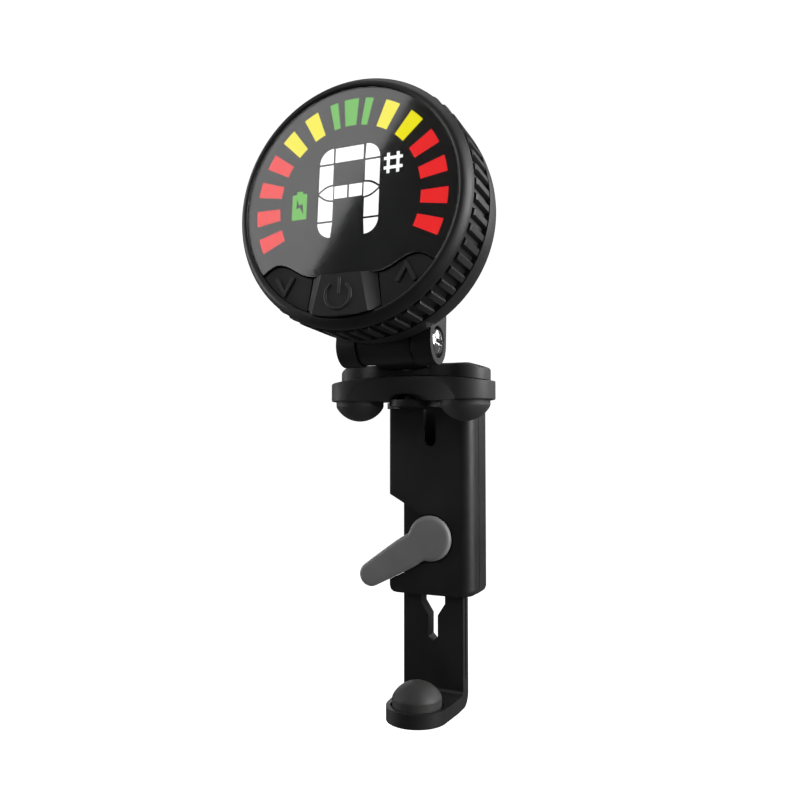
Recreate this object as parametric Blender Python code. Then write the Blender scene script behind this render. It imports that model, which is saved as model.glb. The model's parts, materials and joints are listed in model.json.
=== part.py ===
"""A clip-on tuner for musical instruments.

A round display drum with a knurled grip turns in a rear yoke, the yoke tilts on a hinge, the hinge
swivels on a clamp, and the clamp's jaw slides and is locked by a lever.

Sizes are in millimetres here and in metres in the scene. +Z is up and the display faces -Y. The origin
is on the swivel axis, level with the crowns of the two upper pads, where the headstock's face rests.
"""
import math

import bmesh
import bpy
from mathutils import Vector

MM = 0.001
GAP = 0.3  # clearance between pieces that touch

# Joint axes
HINGE_Y, HINGE_Z = -9.125, 13.375
REST_TILT = -4.5  # degrees about +X, the top of the head leans back
FACE_AHEAD, FACE_ABOVE = -17.854, 19.708  # display centre, from the hinge, before the rest tilt
LEVER_Z = -22.8
SLIDER_FRONT, SLIDER_BACK = 10.95, 13.9

# Drum, by radius and by depth behind the display plane
DRUM_BORE = 18.7
DRUM_FIT = DRUM_BORE - GAP
BEZEL_RADIUS = 20.6
BEZEL_BACK = 1.5
GRIP_BACK = 7.8
GRIP_ROOT, GRIP_CREST = 20.15, 20.9
SLEEVE_RADIUS, SLEEVE_BACK = 19.3, 9.0
RIB_COUNT = 55
LENS_FRONT, LENS_BACK = -0.45, 0.45
KEY_FRONT, KEY_BACK = -0.3, 2.2
POWER_FRONT = -1.4
GUIDE_FRONT, GUIDE_BACK = 0.75, 3.6
SWITCH_FRONT, SWITCH_BACK = 2.6, 3.9
BOARD_FRONT, BOARD_BACK = 4.2, 5.2
CELL_FRONT, CELL_BACK = 5.5, 7.5
PLATE_FRONT, PLATE_BACK = 8.0, 9.2
DRUM_SCREW_RING = 16.3
KEY_CENTRES = {"left": (-10.2, -12.8), "power": (0.0, -14.8), "right": (10.2, -12.8)}

# Line between the lens and the keys: low in the middle, humped over each side key
BROW_LOW, BROW_HIGH, BROW_DROP = -11.9, -9.55, 1.4
KEY_STEP, BROW_PEAK, BROW_END = 5.7, 12.2, 15.0
KEY_STEP_LOW = 6.5  # half width of the power key at its lower end

# Yoke and hinge
YOKE_RADIUS, YOKE_BORE, YOKE_FLOOR, YOKE_BACK, HUB_BACK = 20.9, 19.6, 9.5, 14.4, 14.9
TURN_BOSS, BOSS_BACK = 4.0, 15.2
EAR_RADIUS = 3.59
EAR_INNER, EAR_OUTER = 5.35, 9.0
BARREL_RADIUS, BARREL_HALF = 3.55, 5.05
HINGE_SHANK = 1.1

# Swivel plate and pad carrier
LOBE_SPACING = 10.65
SWIVEL_LOBE, SWIVEL_WAIST, SWIVEL_LOW, SWIVEL_TOP = 4.2, 2.4, 8.0, 10.5
SWIVEL_SHIFT = 1.4  # how far the plate's lobes sit behind the axis
CARRIER_LOBE, CARRIER_WAIST, CARRIER_LOW, CARRIER_TOP = 5.4, 3.9, 4.2, 7.7
SWIVEL_SHANK, SWIVEL_BOSS = 1.2, 2.6
PAD_RADIUS, PAD_ROOT, PAD_SHOULDER, PAD_CROWN = 4.54, 4.7, 2.76, 0.0
CROWN_FLAT = 1.3

# Channel, the clamp's two-piece post
CHANNEL_HALF, CHANNEL_FRONT, CHANNEL_SPLIT, CHANNEL_BACK = 8.85, 9.4, 13.1, 18.3
CHANNEL_LOW, CHANNEL_TOP = -33.8, 3.2
CRISP_CORNER, SOFT_CORNER = 0.5, 2.7
BAY_HALF, BAY_FRONT, BAY_BACK = 6.55, 10.6, 14.2
TONGUE_RADIUS, TONGUE_LOW, TONGUE_TOP = 4.06, 2.7, 3.9
LEVER_POCKET, POCKET_FLOOR = 4.75, 10.0
POST_SCREWS = ((-7.6, -5.0), (7.6, -5.0), (7.6, -29.0))

# Jaw and lever
SLIDER_HALF, SLIDER_TOP = 6.25, -12.7
SLOT_HALF, SLOT_TOP, SLOT_SHOULDER = 2.5, -13.9, -35.6
SLIT_HALF, SLIT_TOP, SLIT_END = 0.975, -37.95, -42.2
GUIDE_PIN_Z, GUIDE_PIN_RADIUS = -16.4, 2.2
FOOT_TOP, FOOT_LOW, FOOT_Y, FOOT_RADIUS = -52.7, -55.3, 2.7, 5.8
JAW_PAD_RADIUS, JAW_PAD_ROOT, JAW_PAD_SHOULDER, JAW_PAD_CROWN = 4.66, -53.2, -51.2, -48.325
HUB_RADIUS, LEVER_REACH, LEVER_TIP, LEVER_ROOT, LEVER_DROP = 4.46, 14.95, 2.4, 3.2, 31.45
LEVER_FRONT, LEVER_SEAT, ARM_BACK = 8.5, 9.7, 10.4
RIVET_SHANK = 0.8
SHOE_X, SHOE_HALF_X, SHOE_HALF_Z = 2.75, 0.75, 1.2

# Colour, roughness and metallic value of each finish
FINISHES = {
    "moulding": ((0.022, 0.022, 0.023), 0.5, 0.0),
    "key": ((0.03, 0.03, 0.031), 0.6, 0.0),
    "lens": ((0.01, 0.01, 0.012), 0.05, 0.0),
    "guide": ((0.8, 0.8, 0.8), 0.4, 0.0),
    "board": ((0.02, 0.16, 0.06), 0.5, 0.0),
    "cell": ((0.6, 0.61, 0.63), 0.35, 1.0),
    "steel": ((0.55, 0.55, 0.56), 0.3, 1.0),
    "chrome": ((0.75, 0.75, 0.76), 0.12, 1.0),
    "brass": ((0.7, 0.5, 0.2), 0.3, 1.0),
    "nylon": ((0.7, 0.7, 0.66), 0.5, 0.0),
    "rubber": ((0.04, 0.04, 0.042), 0.75, 0.0),
    "lever": ((0.11, 0.11, 0.11), 0.5, 0.0),
}

PLANES = {
    "XY": lambda u, v, w: (u, v, w),
    "XZ": lambda u, v, w: (u, w, v),
    "YZ": lambda u, v, w: (w, u, v),
}


# ---- outlines -------------------------------------------------------------------------------------

def arc(centre, radius, start, end, steps):
    """Points on an arc from start to end, in degrees, both ends included."""
    angles = [math.radians(start + (end - start) * i / steps) for i in range(steps + 1)]
    return [(centre[0] + radius * math.cos(a), centre[1] + radius * math.sin(a)) for a in angles]


def circle(radius, steps, centre=(0, 0)):
    """A closed circle, its first point not repeated."""
    return arc(centre, radius, 0, 360 - 360 / steps, steps - 1)


def box(low_u, high_u, low_v, high_v):
    """A rectangle."""
    return [(low_u, low_v), (high_u, low_v), (high_u, high_v), (low_u, high_v)]


def peanut(lobe, waist, inset=0.0, steps=10):
    """Two round lobes joined by a smooth waist."""
    lobe, waist = lobe - inset, waist - inset
    ends = arc((LOBE_SPACING, 0), lobe, -90, 90, steps)
    span = [LOBE_SPACING * (1 - 2 * i / steps) for i in range(1, steps)]
    side = [(x, waist + (lobe - waist) * (1 - math.cos(math.pi * x / LOBE_SPACING)) / 2) for x in span]
    half = ends + side
    return half + [(-x, -y) for x, y in half]


def shifted(outline, back):
    """The outline moved towards the back."""
    return [(x, y + back) for x, y in outline]


def brow(x):
    """Height of the line between the lens and the keys, x from the middle."""
    x = abs(x)
    if x < KEY_STEP:
        return BROW_LOW
    if x < BROW_PEAK:
        share = (x - KEY_STEP) / (BROW_PEAK - KEY_STEP)
        return BROW_LOW + (BROW_HIGH - BROW_LOW) * (1 - math.cos(math.pi * share)) / 2
    share = (x - BROW_PEAK) / (BROW_END - BROW_PEAK)
    return BROW_HIGH - BROW_DROP * (1 - math.cos(math.pi / 2 * share))


def brow_end(radius, lift):
    """Where the lifted brow line meets a circle of that radius."""
    near, far = BROW_PEAK, radius
    for _ in range(30):
        x = (near + far) / 2
        if math.hypot(x, brow(x) + lift) < radius:
            near = x
        else:
            far = x
    return near


def lens_outline(inset):
    """The round window with the keys' area taken off its lower side."""
    radius = DRUM_FIT - inset
    end = brow_end(radius, inset)
    steps = 32
    xs = [-end + 2 * end * i / steps for i in range(steps + 1)]
    lower = [(x, brow(x) + inset) for x in xs]
    angle = math.degrees(math.atan2(lower[-1][1], lower[-1][0]))
    return lower[:-1] + arc((0, 0), radius, angle, 180 - angle, 36)[:-1]


def side_key_outline(side):
    """A key beside the power key, side -1 for left and 1 for right."""
    steps = 10
    end = brow_end(DRUM_FIT, -GAP)
    start = KEY_STEP + GAP / 2
    foot = KEY_STEP_LOW + GAP / 2
    rim_start = math.degrees(math.atan2(-math.sqrt(DRUM_FIT**2 - foot**2), foot))
    rim_end = math.degrees(math.atan2(brow(end) - GAP, end))
    rim = arc((0, 0), DRUM_FIT, rim_start, rim_end, steps)
    top = [(end + (start - end) * i / steps) for i in range(1, steps + 1)]
    outline = rim + [(x, brow(x) - GAP) for x in top]
    return [(side * x, y) for x, y in outline]


def power_key_outline(half_top, half_low, radius):
    """The middle key: wider at its lower, round edge."""
    swing = math.degrees(math.asin(half_low / radius))
    top = BROW_LOW - GAP
    return [(half_top, top), (-half_top, top)] + arc((0, 0), radius, -90 - swing, -90 + swing, 10)


def ribbed(crest, root):
    """A circle with a flat-topped rib in each pitch."""
    pitch = 2 * math.pi / RIB_COUNT
    corners = ((0.28, crest), (0.72, crest), (0.84, root), (1.16, root))
    polar = [(pitch * (i + share), radius) for i in range(RIB_COUNT) for share, radius in corners]
    return [(radius * math.cos(a), radius * math.sin(a)) for a, radius in polar]


def lever_outline(inset=0.0):
    """Round hub and tapering arm, about the pivot."""
    heading = 180 + LEVER_DROP
    neck = 50
    hub = arc((0, 0), HUB_RADIUS - inset, heading + neck, heading + 360 - neck, 28)
    along = Vector((math.cos(math.radians(heading)), math.sin(math.radians(heading))))
    across = Vector((-along.y, along.x))
    shoulder = 4.6
    left = along * shoulder + across * (LEVER_ROOT - inset)
    right = along * shoulder - across * (LEVER_ROOT - inset)
    tip = along * LEVER_REACH
    end = arc((tip.x, tip.y), LEVER_TIP - inset, heading - 85, heading + 85, 12)
    return hub + [tuple(right)] + end + [tuple(left)]


def slot_outline():
    """The jaw's slot: wide for the guide pin, then a narrow slit that lets the jaw flex."""
    left = [(-SLOT_HALF, SLOT_TOP), (-SLOT_HALF, SLOT_SHOULDER), (-SLIT_HALF, SLIT_TOP)]
    slit = arc((0, SLIT_END), SLIT_HALF, 180, 360, 8)
    return left + slit + [(-x, z) for x, z in reversed(left)]


def shoe_outline(margin, height):
    """The brake shoe beside the rivet, or a window that clears it."""
    across, up = SHOE_HALF_X + margin, SHOE_HALF_Z + margin
    return box(SHOE_X - across, SHOE_X + across, height - up, height + up)


def notch_outline(reach):
    """The wedge beside the lever's hub in which its arm swings."""
    upper, lower = (-1.6, -18.3), (-1.0, -27.7)
    start = math.degrees(math.atan2(upper[1] - LEVER_Z, upper[0]))
    end = math.degrees(math.atan2(lower[1] - LEVER_Z, lower[0])) + 360
    hub = arc((0, LEVER_Z), LEVER_POCKET, start, end, 12)
    rise, fall = 0.5617, 0.4968  # slopes of the two edges
    far_upper = (reach, hub[0][1] + rise * (hub[0][0] - reach))
    far_lower = (reach, hub[-1][1] - fall * (hub[-1][0] - reach))
    return hub + [far_lower, far_upper]


# ---- solids ---------------------------------------------------------------------------------------

def loft(sections, plane="XY", ring=False):
    """A closed solid through (outline, height) sections. A ring joins its last section to its first."""
    place = PLANES[plane]
    mesh = bmesh.new()
    loops = [[mesh.verts.new(Vector(place(u, v, w)) * MM) for u, v in outline] for outline, w in sections]
    pairs = list(zip(loops, loops[1:]))
    if ring:
        pairs.append((loops[-1], loops[0]))
    else:
        mesh.faces.new(loops[0])
        mesh.faces.new(loops[-1])
    for lower, upper in pairs:
        for i in range(len(lower)):
            j = (i + 1) % len(lower)
            mesh.faces.new((lower[i], lower[j], upper[j], upper[i]))
    bmesh.ops.recalc_face_normals(mesh, faces=mesh.faces)
    return mesh


def prism(outline, low, high, plane="XY"):
    """A straight extrusion."""
    return loft([(outline, low), (outline, high)], plane)


def turned(profile, steps, plane="XY", centre=(0, 0), ring=False):
    """A body of revolution through (radius, height) points."""
    return loft([(circle(radius, steps, centre), height) for radius, height in profile], plane, ring)


def dome(radius, root, shoulder, crown, centre):
    """A round pad: a short cylinder, then a dome with a small flat crown."""
    rise = crown - shoulder
    sweep = [math.radians(angle) for angle in (18, 36, 54, 66)]
    curve = [(radius * math.cos(a), shoulder + rise * math.sin(a)) for a in sweep]
    profile = [(radius, root), (radius, shoulder)] + curve + [(CROWN_FLAT, crown)]
    return turned(profile, 32, centre=centre)


# ---- objects --------------------------------------------------------------------------------------

def clear():
    """Empties the scene."""
    for item in list(bpy.data.objects):
        bpy.data.objects.remove(item)


def axis_empty(name, place, parent=None, tilt=0.0):
    """An empty on a joint's axis."""
    empty = bpy.data.objects.new(name, None)
    bpy.context.collection.objects.link(empty)
    empty.parent = parent
    empty.location = Vector(place) * MM
    empty.rotation_euler.x = math.radians(tilt)
    return empty


def material(name, finish):
    """The piece's own Principled material."""
    colour, roughness, metallic = FINISHES[finish]
    made = bpy.data.materials.new(name)
    made.use_nodes = True
    shader = made.node_tree.nodes["Principled BSDF"]
    shader.inputs["Base Color"].default_value = (*colour, 1.0)
    shader.inputs["Roughness"].default_value = roughness
    shader.inputs["Metallic"].default_value = metallic
    return made


def new_object(name, mesh, parent, place):
    """Turns a bmesh into an object."""
    data = bpy.data.meshes.new(name)
    mesh.to_mesh(data)
    mesh.free()
    item = bpy.data.objects.new(name, data)
    bpy.context.collection.objects.link(item)
    item.parent = parent
    item.location = Vector(place) * MM
    return item


def part(name, mesh, finish, parent=None, place=(0, 0, 0)):
    """One physical piece."""
    item = new_object(name, mesh, parent, place)
    item.data.shade_smooth()
    item.data.set_sharp_from_angle(angle=math.radians(35))
    item.data.materials.append(material(name, finish))
    return item


def combine(target, mesh, operation):
    """Adds a solid to a piece, or takes it off."""
    tool = new_object(f"{target.name}_tool_{len(target.modifiers)}", mesh, target.parent, (0, 0, 0))
    tool.location = target.location
    tool.hide_render = True
    tool.display_type = "WIRE"
    modifier = target.modifiers.new(f"{operation.lower()} {len(target.modifiers)}", "BOOLEAN")
    modifier.operation = operation
    modifier.solver = "EXACT"
    modifier.object = tool


def add(target, mesh):
    combine(target, mesh, "UNION")


def cut(target, mesh):
    combine(target, mesh, "DIFFERENCE")


def drum_screw_places():
    """Centres of the three screws that hold the drum's back on."""
    return arc((0, 0), DRUM_SCREW_RING, 90, 330, 2)


# ---- drum -----------------------------------------------------------------------------------------

def build_bezel(turn):
    profile = [
        (DRUM_BORE, LENS_FRONT), (19.3, -0.8), (19.9, -0.35), (BEZEL_RADIUS, 0.6),
        (20.3, BEZEL_BACK), (DRUM_BORE, BEZEL_BACK),
    ]
    part("front_bezel", turned(profile, 72, "XZ", ring=True), "moulding", turn)


def build_grip(turn):
    steps = 4 * RIB_COUNT
    front = BEZEL_BACK + GAP
    teeth = ribbed(GRIP_CREST, GRIP_ROOT)
    sections = [
        (circle(DRUM_BORE, steps), front), (circle(GRIP_ROOT, steps), front),
        (teeth, front + 0.3), (teeth, GRIP_BACK), (circle(SLEEVE_RADIUS, steps), GRIP_BACK),
        (circle(SLEEVE_RADIUS, steps), SLEEVE_BACK), (circle(DRUM_BORE, steps), SLEEVE_BACK),
    ]
    grip = part("knurled_grip", loft(sections, "XZ", ring=True), "moulding", turn)
    cut(grip, prism(box(-22, -16.0, -4.3, 4.3), 5.2, GRIP_BACK + 0.2, "XZ"))


def build_window(turn):
    part("display_lens", prism(lens_outline(0.0), LENS_FRONT, LENS_BACK, "XZ"), "lens", turn)
    guide = part("light_guide", prism(lens_outline(GAP), GUIDE_FRONT, GUIDE_BACK, "XZ"), "guide", turn)
    for place in drum_screw_places():
        cut(guide, prism(circle(1.1, 12, place), 2.0, 4.0, "XZ"))


def build_keys(turn):
    for name, side in (("left", -1), ("right", 1)):
        solid = prism(side_key_outline(side), KEY_FRONT, KEY_BACK, "XZ")
        part(f"button_{name}", solid, "key", turn)
    foot = power_key_outline(KEY_STEP - GAP / 2, KEY_STEP_LOW - GAP / 2, DRUM_FIT)
    top = power_key_outline(3.45, 4.9, DRUM_FIT - 0.2)
    sections = [(foot, KEY_BACK), (foot, KEY_FRONT), (top, POWER_FRONT)]
    part("button_power", loft(sections, "XZ"), "key", turn)
    for name, (x, z) in KEY_CENTRES.items():
        solid = prism(box(x - 1.2, x + 1.2, z - 1.2, z + 1.2), SWITCH_FRONT, SWITCH_BACK, "XZ")
        part(f"switch_{name}", solid, "steel", turn)


def build_electronics(turn):
    board = part("circuit_board", prism(circle(18.0, 48), BOARD_FRONT, BOARD_BACK, "XZ"), "board", turn)
    for place in drum_screw_places():
        cut(board, prism(circle(1.1, 12, place), 4.0, 5.5, "XZ"))
    part("battery", prism(box(-9.0, 13.0, -2.0, 11.0), CELL_FRONT, CELL_BACK, "XZ"), "cell", turn)
    piezo = turned([(5.0, 7.1), (5.0, 7.35), (3.6, 7.35), (3.6, 7.6)], 32, "XZ", centre=(3.0, -9.5))
    part("piezo_sensor", piezo, "brass", turn)
    port = part("usb_port", prism(box(-20.3, -14.0, -3.75, 3.75), 5.5, 7.4, "XZ"), "steel", turn)
    cut(port, prism(box(-21.0, -15.0, -3.35, 3.35), 5.8, 7.1, "XZ"))


def build_drum_back(turn):
    profile = [(DRUM_FIT, PLATE_FRONT), (DRUM_FIT, PLATE_BACK), (TURN_BOSS, PLATE_BACK), (TURN_BOSS, BOSS_BACK)]
    plate = part("back_plate", turned(profile, 64, "XZ"), "moulding", turn)
    cut(plate, prism(circle(1.8, 16), BOSS_BACK - 3.2, BOSS_BACK + 0.3, "XZ"))
    for number, place in enumerate(drum_screw_places(), 1):
        cut(plate, turned([(1.1, 7.8), (1.1, 8.5), (1.8, 8.5), (1.8, 9.4)], 16, "XZ", place))
        screw = turned([(0.8, 2.3), (0.8, 8.8), (1.5, 8.8), (1.5, 9.15)], 12, "XZ", place)
        part(f"drum_screw_{number}", screw, "steel", turn)
    washer = [(4.3, BOSS_BACK), (5.6, BOSS_BACK), (5.6, BOSS_BACK + 0.4), (4.3, BOSS_BACK + 0.4)]
    part("turn_washer", turned(washer, 32, "XZ", ring=True), "steel", turn)
    seat = BOSS_BACK + 0.7
    head = [(1.5, seat - 3.6), (1.5, seat), (5.6, seat), (5.6, seat + 0.8), (5.0, seat + 1.2)]
    screw = part("turn_screw", turned(head, 32, "XZ"), "moulding", turn)
    for slot in (box(-2.2, 2.2, -0.5, 0.5), box(-0.5, 0.5, -2.2, 2.2)):
        cut(screw, prism(slot, seat + 0.4, seat + 2.0, "XZ"))


# ---- yoke and hinge -------------------------------------------------------------------------------

def build_yoke(tilt, place):
    profile = [
        (TURN_BOSS + GAP, YOKE_FLOOR), (YOKE_BORE, YOKE_FLOOR), (YOKE_BORE, GRIP_BACK + GAP),
        (YOKE_RADIUS, GRIP_BACK + GAP), (20.75, 10.8), (20.25, 13.2), (19.4, 14.1), (18.2, YOKE_BACK),
        (11.5, YOKE_BACK), (10.8, HUB_BACK), (TURN_BOSS + GAP, HUB_BACK),
    ]
    yoke = part("rear_yoke", turned(profile, 60, "XZ", ring=True), "moulding", tilt, place)
    ear_depth, ear_height = -FACE_AHEAD, -FACE_ABOVE
    front, back = ear_depth - EAR_RADIUS, ear_depth + EAR_RADIUS
    side = arc((ear_depth, ear_height), EAR_RADIUS, 180, 360, 16)
    side += [(back, -12.5), (17.5, -7.0), (13.2, -1.0), (12.0, -1.0), (12.0, -13.5), (front, -15.5)]
    for low, high in ((-EAR_OUTER, -EAR_INNER), (EAR_INNER, EAR_OUTER)):
        add(yoke, prism(side, low, high, "YZ"))
    ear = (ear_depth, ear_height)
    cut(yoke, prism(circle(HINGE_SHANK + GAP, 16, ear), -12.0, 12.0, "YZ"))
    cut(yoke, prism(circle(2.75, 24, ear), 7.75, 12.0, "YZ"))
    cut(yoke, prism(circle(2.6, 6, ear), -12.0, -7.2, "YZ"))


def build_hinge(tilt, swivel):
    profile = [(HINGE_SHANK, -8.6), (HINGE_SHANK, 8.05), (2.45, 8.05), (2.45, 8.6), (1.7, 9.15)]
    screw = part("hinge_screw", turned(profile, 24, "YZ"), "chrome", tilt)
    for slot in (box(-1.5, 1.5, -0.35, 0.35), box(-0.35, 0.35, -1.5, 1.5)):
        cut(screw, prism(slot, 8.6, 10.0, "YZ"))
    nut = loft([(circle(2.2, 6), -8.9), (circle(2.2, 6), -7.5)], "YZ")
    cut(part("hinge_nut", nut, "steel", tilt), prism(circle(HINGE_SHANK + GAP, 16), -9.5, -7.0, "YZ"))
    bush = [(1.4, -4.6), (1.85, -4.6), (1.85, 4.6), (1.4, 4.6)]
    hinge = (0, HINGE_Y, HINGE_Z)
    part("hinge_bush", turned(bush, 24, "YZ", ring=True), "nylon", swivel, hinge)


# ---- swivel and clamp -----------------------------------------------------------------------------

def build_swivel(swivel):
    full = shifted(peanut(SWIVEL_LOBE, SWIVEL_WAIST), SWIVEL_SHIFT)
    rounded = shifted(peanut(SWIVEL_LOBE, SWIVEL_WAIST, 0.4), SWIVEL_SHIFT)
    sections = [(full, SWIVEL_LOW), (full, SWIVEL_TOP - 0.4), (rounded, SWIVEL_TOP)]
    plate = part("swivel_plate", loft(sections), "moulding", swivel)
    neck = [
        (-9.1, 10.3), (-6.5, 10.6), (-2.2, 9.9), (-1.8, 8.6), (3.0, 8.6),
        (3.0, 10.6), (-1.0, 11.8), (-5.0, 15.5), (-9.1, 16.7),
    ]
    add(plate, prism(neck, -4.9, 4.9, "YZ"))
    axle = (HINGE_Y, HINGE_Z)
    add(plate, prism(circle(BARREL_RADIUS, 32, axle), -BARREL_HALF, BARREL_HALF, "YZ"))
    cut(plate, prism(circle(2.15, 24, axle), -6.0, 6.0, "YZ"))
    cut(plate, turned([(1.5, 7.0), (1.5, 8.9), (2.8, 8.9), (2.8, 20.0)], 24))


def build_carrier():
    full = peanut(CARRIER_LOBE, CARRIER_WAIST)
    rounded = peanut(CARRIER_LOBE, CARRIER_WAIST, 0.3)
    sections = [(rounded, CARRIER_LOW), (full, CARRIER_LOW + 0.4), (full, CARRIER_TOP)]
    carrier = part("pad_carrier", loft(sections), "moulding")
    cut(carrier, scoop())
    cut(carrier, prism(circle(SWIVEL_BOSS + GAP, 24), 3.0, 9.0))
    for side, name in ((-1, "left"), (1, "right")):
        centre = (side * LOBE_SPACING, 0)
        cut(carrier, prism(circle(PAD_RADIUS + GAP, 32, centre), 3.0, PAD_ROOT + GAP))
        pad = dome(PAD_RADIUS, PAD_ROOT, PAD_SHOULDER, PAD_CROWN, centre)
        part(f"upper_pad_{name}", pad, "rubber")


def scoop():
    """The hollow under the front of the carrier, part of an ellipsoid."""
    mesh = bmesh.new()
    bmesh.ops.create_uvsphere(mesh, u_segments=28, v_segments=16, radius=1.0)
    for vert in mesh.verts:
        x, y, z = vert.co
        vert.co = Vector((12.0 * x, 8.2 * y - 9.5, 5.4 * z + 2.6)) * MM
    return mesh


def bracket_outline(half):
    """Front half of the post, open at the back."""
    left = arc((-half + CRISP_CORNER, CHANNEL_FRONT + CRISP_CORNER), CRISP_CORNER, 180, 270, 6)
    right = arc((half - SOFT_CORNER, CHANNEL_FRONT + SOFT_CORNER), SOFT_CORNER, 270, 360, 6)
    outer = [(-half, CHANNEL_SPLIT)] + left + right + [(half, CHANNEL_SPLIT)]
    bay = [(BAY_HALF, CHANNEL_SPLIT), (BAY_HALF, BAY_FRONT), (-BAY_HALF, BAY_FRONT), (-BAY_HALF, CHANNEL_SPLIT)]
    return outer + bay


def build_bracket():
    full, narrow = bracket_outline(CHANNEL_HALF), bracket_outline(CHANNEL_HALF - 0.9)
    sections = [(narrow, CHANNEL_LOW), (full, CHANNEL_LOW + 0.9), (full, CHANNEL_TOP)]
    bracket = part("channel_bracket", loft(sections), "moulding")
    nose = arc((0, 0), TONGUE_RADIUS, 180, 360, 16)
    left = [(-9.5, BAY_FRONT), (-9.4, 9.6), (-7.0, 8.1), (-5.0, 6.2)]
    flange = [(-x, y) for x, y in reversed(left)] + left
    add(bracket, prism(nose + flange, TONGUE_LOW, TONGUE_TOP))
    add(bracket, prism(circle(SWIVEL_BOSS, 24), TONGUE_TOP - 0.4, 7.0))
    cut(bracket, prism(circle(SWIVEL_SHANK + GAP, 16), 3.2, 8.0))
    slot = arc((0, -3.55), 1.25, 180, 360, 8) + [(1.25, TONGUE_LOW), (-1.25, TONGUE_LOW)]
    cut(bracket, prism(slot, 8.0, 10.8, "XZ"))
    cut(bracket, prism(circle(LEVER_POCKET, 36, (0, LEVER_Z)), 8.0, POCKET_FLOOR, "XZ"))
    cut(bracket, prism(notch_outline(-12.0), 8.0, 13.3, "XZ"))
    bore = [(RIVET_SHANK + GAP, 9.5), (RIVET_SHANK + GAP, 10.1), (1.9, 10.8)]
    cut(bracket, turned(bore, 20, "XZ", (0, LEVER_Z)))
    cut(bracket, prism(shoe_outline(GAP, LEVER_Z), 9.5, 10.8, "XZ"))
    for place in POST_SCREWS:
        cut(bracket, prism(circle(0.75, 10, place), 11.2, 13.3, "XZ"))


def cover_outline(half):
    """Rear half of the post, with a bay for the jaw."""
    corner, split = 0.8, CHANNEL_SPLIT + GAP
    right = arc((half - corner, CHANNEL_BACK - corner), corner, 0, 90, 4)
    left = arc((-half + corner, CHANNEL_BACK - corner), corner, 90, 180, 4)
    bay = [(-BAY_HALF, split), (-BAY_HALF, BAY_BACK), (BAY_HALF, BAY_BACK), (BAY_HALF, split)]
    return [(half, split)] + right + left + [(-half, split)] + bay


def build_cover():
    full, narrow = cover_outline(CHANNEL_HALF), cover_outline(CHANNEL_HALF - 0.9)
    sections = [(narrow, CHANNEL_LOW), (full, CHANNEL_LOW + 0.9), (full, CHANNEL_TOP)]
    cover = part("channel_back", loft(sections), "moulding")
    wedge = [(x, z) for x, z in notch_outline(-12.0) if x < -6.0]
    inner = -BAY_HALF + GAP
    upper, lower = wedge[-1], wedge[0]
    rise, fall = 0.5617, 0.4968
    wedge += [(inner, upper[1] - rise * (inner + 12.0)), (inner, lower[1] + fall * (inner + 12.0))]
    cut(cover, prism(wedge, 13.0, CHANNEL_BACK + 0.7, "XZ"))
    for number, place in enumerate(POST_SCREWS, 1):
        cut(cover, turned([(0.75, 13.0), (0.75, 16.1), (1.0, 16.1), (1.0, CHANNEL_BACK + 0.7)], 12, "XZ", place))
        screw = turned([(0.45, 11.5), (0.45, 16.4), (0.7, 16.4), (0.7, 17.0)], 10, "XZ", place)
        part(f"post_screw_{number}", screw, "steel")
    seat = (0, GUIDE_PIN_Z)
    cut(cover, prism(circle(1.5, 16, seat), 13.0, 16.2, "XZ"))
    pin = [(GUIDE_PIN_RADIUS, 11.2), (GUIDE_PIN_RADIUS, 13.9), (1.2, 13.9), (1.2, 15.9)]
    part("guide_pin", turned(pin, 24, "XZ", seat), "steel")


def build_swivel_fastening():
    screw = turned([(SWIVEL_SHANK, 3.5), (SWIVEL_SHANK, 9.9), (2.4, 9.9), (2.4, 10.8), (1.9, 11.2)], 24)
    part("swivel_screw", screw, "steel")
    washer = [(1.5, 9.2), (2.5, 9.2), (2.5, 9.6), (1.5, 9.6)]
    part("swivel_washer", turned(washer, 24, ring=True), "steel")


# ---- jaw and lever --------------------------------------------------------------------------------

def build_jaw():
    bend = 2.3
    heel = arc((SLIDER_BACK - bend, FOOT_LOW + bend), bend, 0, -90, 6)
    side = [(SLIDER_FRONT, SLIDER_TOP), (SLIDER_BACK, SLIDER_TOP)] + heel
    side += [(9.0, FOOT_LOW), (9.0, FOOT_TOP), (SLIDER_FRONT, FOOT_TOP)]
    jaw = part("slider_jaw", prism(side, -SLIDER_HALF, SLIDER_HALF, "YZ"), "moulding")
    toe = arc((0, FOOT_Y), FOOT_RADIUS, -195, 15, 24)
    plan = toe + [(SLIDER_HALF, 5.5), (SLIDER_HALF, 11.5), (-SLIDER_HALF, 11.5), (-SLIDER_HALF, 5.5)]
    add(jaw, prism(plan, FOOT_LOW, FOOT_TOP))
    cut(jaw, prism(slot_outline(), 9.0, 15.0, "XZ"))
    cut(jaw, prism(circle(JAW_PAD_RADIUS + GAP, 32, (0, FOOT_Y)), JAW_PAD_ROOT - GAP, -50.0))
    pad = dome(JAW_PAD_RADIUS, JAW_PAD_ROOT, JAW_PAD_SHOULDER, JAW_PAD_CROWN, (0, FOOT_Y))
    part("jaw_pad", pad, "rubber")


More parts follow.
